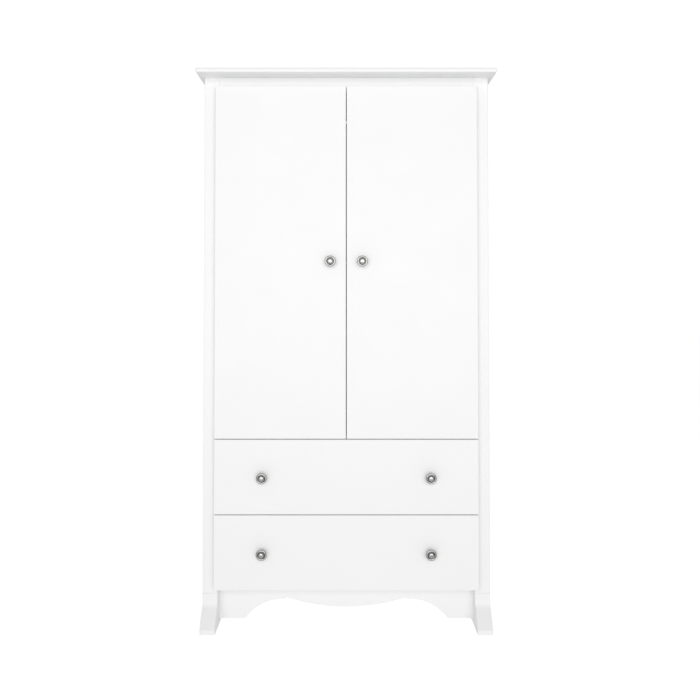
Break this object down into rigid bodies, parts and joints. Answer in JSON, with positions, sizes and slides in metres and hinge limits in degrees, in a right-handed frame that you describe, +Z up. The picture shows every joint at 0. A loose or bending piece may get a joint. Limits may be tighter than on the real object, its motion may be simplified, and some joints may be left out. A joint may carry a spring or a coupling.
{
  "type": "wardrobe",
  "caption": "White wardrobe with doors over drawers, flared feet, a scalloped apron, a hanging rail, a shelf, concealed hinges and telescopic slides.",
  "frame": {"origin": "on the floor, at the middle of the overall box", "axes": "+Z up, -Y out of the front, +X to the right seen from the front"},
  "size_m": [0.822, 0.45, 1.535],
  "materials": {
    "white_paint": "satin white lacquer on fibreboard",
    "white_laminate": "matt white laminate",
    "white_hardboard": "white-faced hardboard",
    "drawer_board": "matt white foil",
    "satin_nickel": "satin nickel plate",
    "nickel_hinge": "bright nickel plate",
    "slide_steel": "zinc-plated steel",
    "zinc_hardware": "zinc-plated",
    "chrome_rail": "polished",
    "clear_bumper": "soft clear",
    "grey_plastic": "moulded"
  },
  "bodies": {
    "carcass": {"adjustable_shelf": "white_laminate", "apron": "white_paint", "back_nails": "zinc_hardware", "back_panel": "white_hardboard", "bottom_panel": "white_paint", "carcass_screws": "zinc_hardware", "drawer_rail": "white_paint", "foot_glides": "grey_plastic", "front_foot_left": "white_paint", "front_foot_right": "white_paint", "front_post_left": "white_paint", "front_post_right": "white_paint", "hanging_rail": "chrome_rail", "hinge_arms": "nickel_hinge", "middle_panel": "white_paint", "rail_sockets": "chrome_rail", "rear_foot_left": "white_paint", "rear_foot_right": "white_paint", "rear_rail": "white_paint", "shelf_pins": "zinc_hardware", "side_panel_left": "white_paint", "side_panel_right": "white_paint", "side_skirt_left": "white_paint", "side_skirt_right": "white_paint", "slide_outer_members": "slide_steel", "slide_spacers": "white_laminate", "top_board": "white_paint", "top_rail": "white_paint", "wall_brackets": "slide_steel"},
    "left_door": {"left_door": "white_paint", "left_door_bumpers": "clear_bumper", "left_door_knob": "satin_nickel", "left_door_knob_screw": "zinc_hardware", "left_hinge_cups": "nickel_hinge", "left_hinge_pins": "nickel_hinge"},
    "right_door": {"right_door": "white_paint", "right_door_bumpers": "clear_bumper", "right_door_knob": "satin_nickel", "right_door_knob_screw": "zinc_hardware", "right_hinge_cups": "nickel_hinge", "right_hinge_pins": "nickel_hinge"},
    "lower_drawer": {"lower_drawer_back": "drawer_board", "lower_drawer_bottom": "white_hardboard", "lower_drawer_front": "white_paint", "lower_drawer_knob_screws": "zinc_hardware", "lower_drawer_knobs": "satin_nickel", "lower_drawer_side_left": "drawer_board", "lower_drawer_side_right": "drawer_board", "lower_slide_inner_members": "slide_steel"},
    "upper_drawer": {"upper_drawer_back": "drawer_board", "upper_drawer_bottom": "white_hardboard", "upper_drawer_front": "white_paint", "upper_drawer_knob_screws": "zinc_hardware", "upper_drawer_knobs": "satin_nickel", "upper_drawer_side_left": "drawer_board", "upper_drawer_side_right": "drawer_board", "upper_slide_inner_members": "slide_steel"},
    "lower_slide_middle": {"lower_slide_middle_members": "slide_steel"},
    "upper_slide_middle": {"upper_slide_middle_members": "slide_steel"}
  },
  "joints": [
    {"name": "left_door_hinge", "type": "hinge", "parent": "carcass", "child": "left_door", "pos_m": [-0.3525, -0.182, 1.009], "axis": [0, 0, -1], "range_deg": [0, 100]},
    {"name": "right_door_hinge", "type": "hinge", "parent": "carcass", "child": "right_door", "pos_m": [0.3525, -0.182, 1.009], "axis": [0, 0, 1], "range_deg": [0, 100]},
    {"name": "lower_drawer_slide", "type": "slide", "parent": "carcass", "child": "lower_drawer", "axis": [0, -1, 0], "range_m": [0, 0.3]},
    {"name": "upper_drawer_slide", "type": "slide", "parent": "carcass", "child": "upper_drawer", "axis": [0, -1, 0], "range_m": [0, 0.3]},
    {"name": "lower_middle_slide", "type": "slide", "parent": "carcass", "child": "lower_slide_middle", "axis": [0, -1, 0], "range_m": [0, 0.15]},
    {"name": "upper_middle_slide", "type": "slide", "parent": "carcass", "child": "upper_slide_middle", "axis": [0, -1, 0], "range_m": [0, 0.15]}
  ],
  "couplings": [
    {"joint": "lower_middle_slide", "follows": "lower_drawer_slide", "ratio": 0.5},
    {"joint": "upper_middle_slide", "follows": "upper_drawer_slide", "ratio": 0.5}
  ]
}
